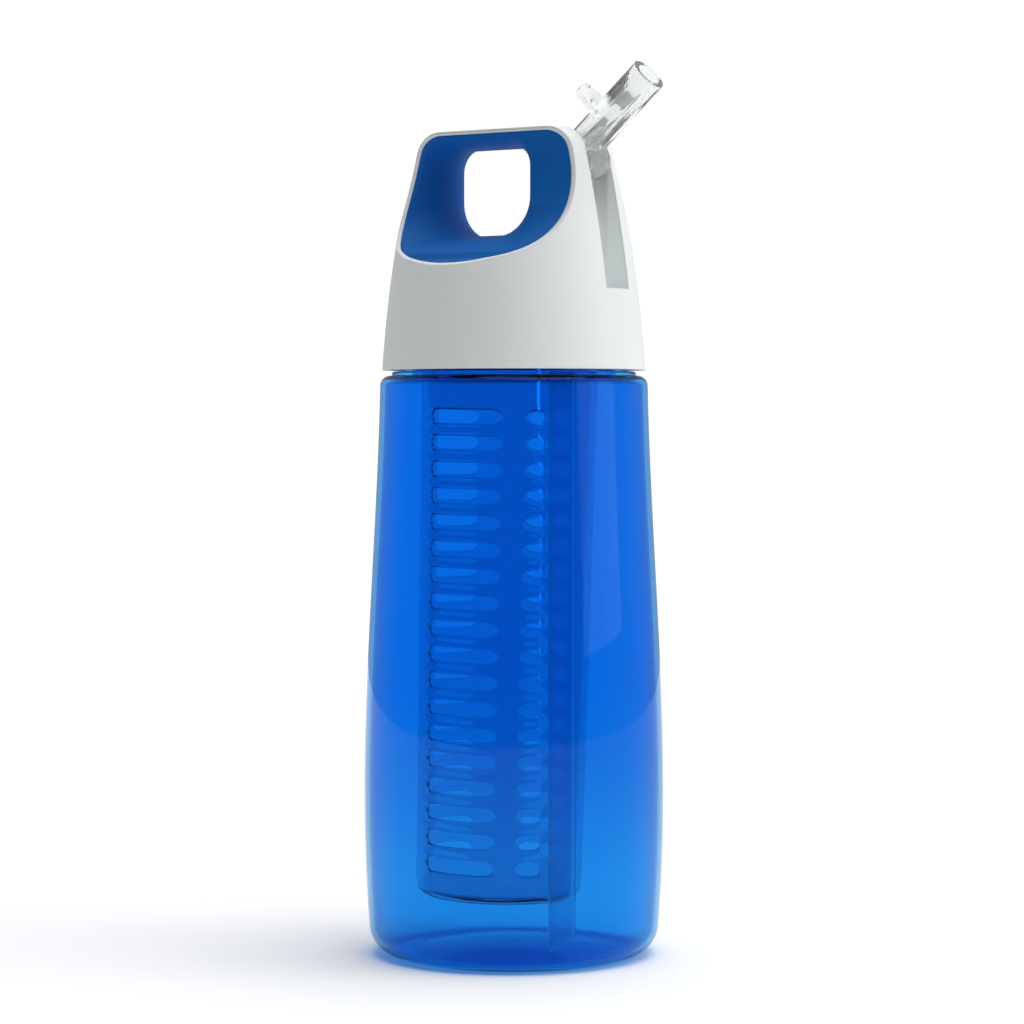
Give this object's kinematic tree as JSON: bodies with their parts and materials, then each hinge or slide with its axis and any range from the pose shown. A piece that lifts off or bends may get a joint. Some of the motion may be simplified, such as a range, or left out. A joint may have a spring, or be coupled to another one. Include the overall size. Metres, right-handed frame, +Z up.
{
  "type": "fruit infuser water bottle",
  "caption": "Clear blue bottle with a screw cap that rises into a lined carry loop, a flip-up straw spout and a hanging slotted fruit basket.",
  "frame": {"origin": "middle of the base, on the surface that the bottle stands on", "axes": "+Z up along the bottle, +X towards the drinking spout, Y through the carry loop"},
  "size_m": [0.083, 0.0778, 0.2294],
  "materials": {
    "clear_blue_bottle": "clear tinted copolyester, blown, high gloss",
    "clear_blue_basket": "clear tinted plastic, moulded, high gloss",
    "white_cap": "white polypropylene, fine satin moulding",
    "blue_grip": "soft overmoulded elastomer, matte blue",
    "clear_spout": "clear hard plastic, moulded, high gloss",
    "clear_straw": "translucent extruded tube",
    "silicone": "translucent white silicone"
  },
  "bodies": {
    "bottle": {"bottle_body": "clear_blue_bottle"},
    "gasket": {"rim_gasket": "silicone"},
    "cap": {"cap_shell": "white_cap", "grip_liner": "blue_grip", "inner_cap": "white_cap", "spout_seat": "silicone", "feed_tube": "silicone", "basket_seal": "silicone", "straw": "clear_straw", "vent_valve": "silicone"},
    "spout": {"spout": "clear_spout"},
    "basket": {"infuser_basket": "clear_blue_basket"}
  },
  "joints": [
    {"name": "cap_lift", "type": "slide", "parent": "bottle", "child": "gasket", "axis": [0, 0, 1], "range_m": [0, 0.17]},
    {"name": "cap_turn", "type": "hinge", "parent": "gasket", "child": "cap", "pos_m": [0, 0, 0.16], "axis": [0, 0, 1], "range_deg": [0, 450]},
    {"name": "spout_flip", "type": "hinge", "parent": "cap", "child": "spout", "pos_m": [0.0223, 0, 0.2052], "axis": [0, 1, 0], "range_deg": [0, 128]},
    {"name": "basket_pull", "type": "slide", "parent": "cap", "child": "basket", "axis": [0, 0, -1], "range_m": [0, 0.01]}
  ]
}
